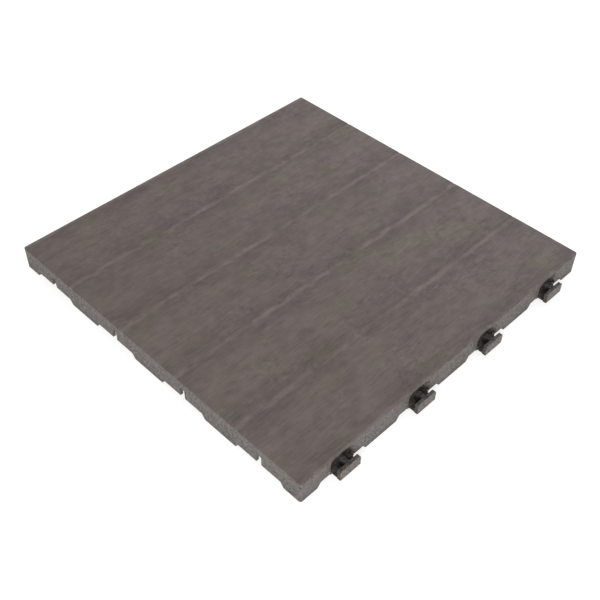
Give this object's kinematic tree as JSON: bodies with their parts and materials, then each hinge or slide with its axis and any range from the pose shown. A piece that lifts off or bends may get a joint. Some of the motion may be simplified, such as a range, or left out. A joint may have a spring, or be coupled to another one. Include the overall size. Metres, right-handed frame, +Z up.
{
  "type": "plastic deck tile",
  "caption": "Square interlocking plastic deck tile with a wood-plank face, T-shaped hooks on two sides, slots on the other two and a ribbed underside.",
  "frame": {"origin": "on the floor, under the middle of the square tile, at the middle of its central foot", "axes": "+Z up through the walking face; +X along the planks, towards a side with hooks; -Y towards the other side with hooks"},
  "size_m": [0.4096, 0.4096, 0.026],
  "materials": {
    "plastic": "matte brown-grey polypropylene with a fine embossed wood grain"
  },
  "bodies": {
    "root": {"deck_tile": "plastic"}
  },
  "joints": []
}
